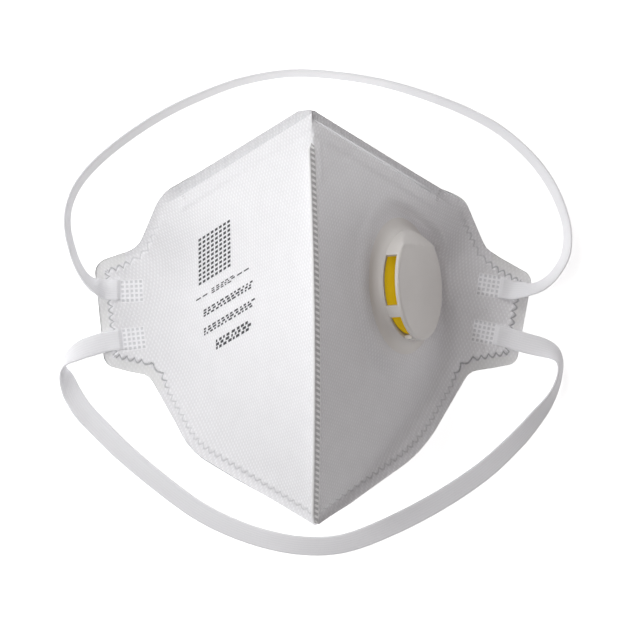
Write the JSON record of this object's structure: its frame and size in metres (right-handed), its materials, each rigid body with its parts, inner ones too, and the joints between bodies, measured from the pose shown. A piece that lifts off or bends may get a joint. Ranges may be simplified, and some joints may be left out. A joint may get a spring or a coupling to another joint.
{
  "type": "disposable dust mask",
  "caption": "Fold-flat disposable dust mask of white non-woven plies with a welded front seam, elastic head straps, a nose clip and a round exhalation valve with a yellow flap.",
  "frame": {"origin": "on the table under the middle of the mask, which lies open on its face side (bottom centre of the box without the head straps)", "axes": "+X cheek to cheek towards the valve, +Y towards the nose, +Z out of the front of the mask"},
  "size_m": [0.1914, 0.1805, 0.0813],
  "materials": {
    "outer_fabric": "white spunbond with fine embossed dots",
    "support_fabric": "white needle felt",
    "filter_fabric": "white melt-blown",
    "lining_fabric": "smooth white spunbond",
    "strap_elastic": "ribbed white knitted elastic",
    "seam_weld": "pressed translucent weld",
    "clip_metal": "satin strip",
    "foam": "soft open-cell foam",
    "valve_plastic": "satin moulded off-white",
    "flap_rubber": "smooth yellow silicone"
  },
  "bodies": {
    "left_half": {"outer_panel_left": "outer_fabric", "support_ply_left": "support_fabric", "filter_ply_left": "filter_fabric", "lining_left": "lining_fabric", "centre_seam": "seam_weld", "nose_clip": "clip_metal", "nose_foam": "foam", "upper_strap": "strap_elastic", "lower_strap": "strap_elastic"},
    "right_half": {"outer_panel_right": "outer_fabric", "support_ply_right": "support_fabric", "filter_ply_right": "filter_fabric", "lining_right": "lining_fabric", "valve_base": "valve_plastic", "flap_clamp": "valve_plastic", "valve_cover": "valve_plastic", "valve_backing_ring": "valve_plastic"},
    "flap": {"valve_flap": "flap_rubber"}
  },
  "joints": [
    {"name": "fold", "type": "hinge", "parent": "left_half", "child": "right_half", "pos_m": [0, 0, 0.065], "axis": [0, 1, 0], "range_deg": [0, 50], "deforming": ["outer_panel_right", "support_ply_right", "filter_ply_right", "lining_right", "nose_clip", "nose_foam", "upper_strap", "lower_strap"]},
    {"name": "flap_lift", "type": "hinge", "parent": "right_half", "child": "flap", "pos_m": [0.03412, 0.02412, 0.03301], "axis": [-0.5302, 0, 0.8479], "range_deg": [0, 5.5], "stiffness_Nm_per_rad": 0.0004, "springref_deg": -20.05}
  ]
}
